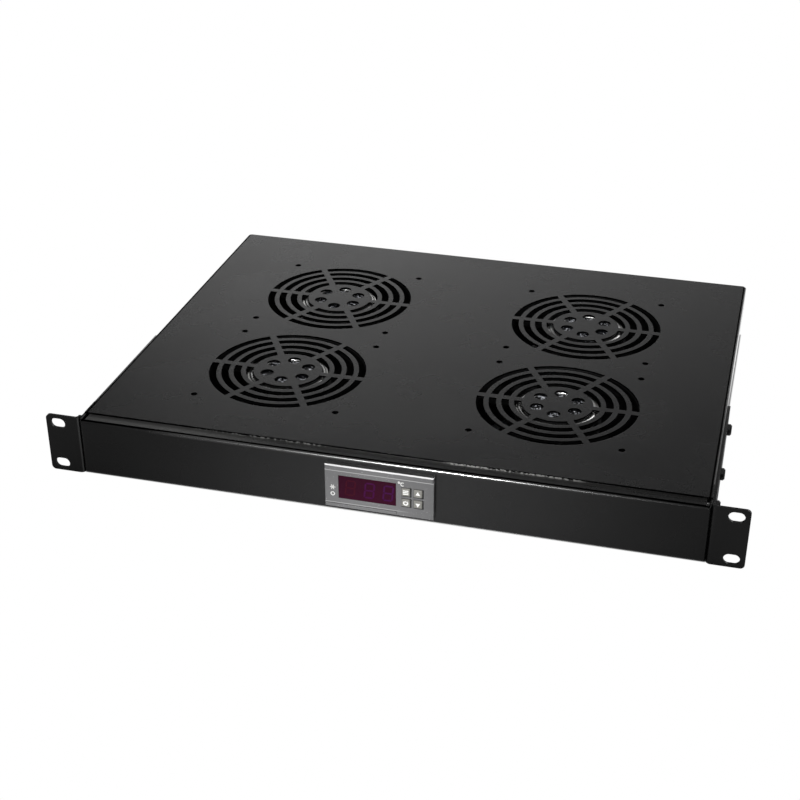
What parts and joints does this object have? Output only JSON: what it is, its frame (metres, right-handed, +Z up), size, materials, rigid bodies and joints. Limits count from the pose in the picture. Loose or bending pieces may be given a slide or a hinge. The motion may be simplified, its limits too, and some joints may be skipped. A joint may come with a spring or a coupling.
{
  "type": "rack fan tray",
  "caption": "One-unit rack fan tray: slotted top plate over round axial fans, folded front panel with thermostat display and keys, slotted mounting ears.",
  "frame": {"origin": "centre of the four rack slots, on the front face of the mounting ears", "axes": "+X to the right seen from the front, +Y towards the back of the rack, +Z up"},
  "size_m": [0.4826, 0.3537, 0.044],
  "materials": {
    "powder_coat": "fine satin black powder coat",
    "black_zinc": "black passivated screws",
    "zinc_steel": "bright zinc plate",
    "fan_casting": "black painted casting",
    "fan_rotor": "black rotor with a bare metal edge",
    "shaft_steel": "ground steel",
    "stator": "laminated steel",
    "bezel": "moulded dark grey, fine grain",
    "window": "dark red tinted lens",
    "display": "dark display block",
    "button": "light grey moulded caps",
    "case": "black moulding",
    "board": "green solder mask",
    "terminal": "green moulding",
    "inlet": "black moulding",
    "brass": "plated brass blades"
  },
  "bodies": {
    "tray": {"top_plate": "powder_coat", "front_panel": "powder_coat", "rack_ear_left": "powder_coat", "rack_ear_right": "powder_coat", "ear_screws": "black_zinc", "ear_clinch_nuts": "zinc_steel", "fan_screws": "zinc_steel", "controller_bezel": "bezel", "controller_case": "case", "display_window": "window", "display_module": "display", "controller_board": "board", "key_switches": "case", "controller_clip_left": "case", "controller_clip_right": "case", "controller_terminals": "terminal", "terminal_screws": "zinc_steel", "mains_inlet": "inlet", "inlet_pins": "brass", "inlet_screws": "zinc_steel", "fan_frame_1": "fan_casting", "fan_stator_1": "stator", "fan_frame_2": "fan_casting", "fan_stator_2": "stator", "fan_frame_3": "fan_casting", "fan_stator_3": "stator", "fan_frame_4": "fan_casting", "fan_stator_4": "stator"},
    "fan_1": {"fan_rotor_1": "fan_rotor", "fan_shaft_1": "shaft_steel"},
    "fan_2": {"fan_rotor_2": "fan_rotor", "fan_shaft_2": "shaft_steel"},
    "fan_3": {"fan_rotor_3": "fan_rotor", "fan_shaft_3": "shaft_steel"},
    "fan_4": {"fan_rotor_4": "fan_rotor", "fan_shaft_4": "shaft_steel"},
    "set_button_key": {"set_button": "button"},
    "up_button_key": {"up_button": "button"},
    "reset_button_key": {"reset_button": "button"},
    "down_button_key": {"down_button": "button"}
  },
  "joints": [
    {"name": "fan_1_spin", "type": "hinge", "parent": "tray", "child": "fan_1", "pos_m": [-0.1, 0.1063, 0], "axis": [0, 0, 1], "continuous": true},
    {"name": "fan_2_spin", "type": "hinge", "parent": "tray", "child": "fan_2", "pos_m": [0.1, 0.1063, 0], "axis": [0, 0, 1], "continuous": true},
    {"name": "fan_3_spin", "type": "hinge", "parent": "tray", "child": "fan_3", "pos_m": [-0.1, 0.2363, 0], "axis": [0, 0, 1], "continuous": true},
    {"name": "fan_4_spin", "type": "hinge", "parent": "tray", "child": "fan_4", "pos_m": [0.1, 0.2363, 0], "axis": [0, 0, 1], "continuous": true},
    {"name": "set_button_press", "type": "slide", "parent": "tray", "child": "set_button_key", "axis": [0, 1, 0], "range_m": [0, 0.0005], "stiffness_N_per_m": 2000, "springref_m": -0.0002},
    {"name": "up_button_press", "type": "slide", "parent": "tray", "child": "up_button_key", "axis": [0, 1, 0], "range_m": [0, 0.0005], "stiffness_N_per_m": 2000, "springref_m": -0.0002},
    {"name": "reset_button_press", "type": "slide", "parent": "tray", "child": "reset_button_key", "axis": [0, 1, 0], "range_m": [0, 0.0005], "stiffness_N_per_m": 2000, "springref_m": -0.0002},
    {"name": "down_button_press", "type": "slide", "parent": "tray", "child": "down_button_key", "axis": [0, 1, 0], "range_m": [0, 0.0005], "stiffness_N_per_m": 2000, "springref_m": -0.0002}
  ]
}
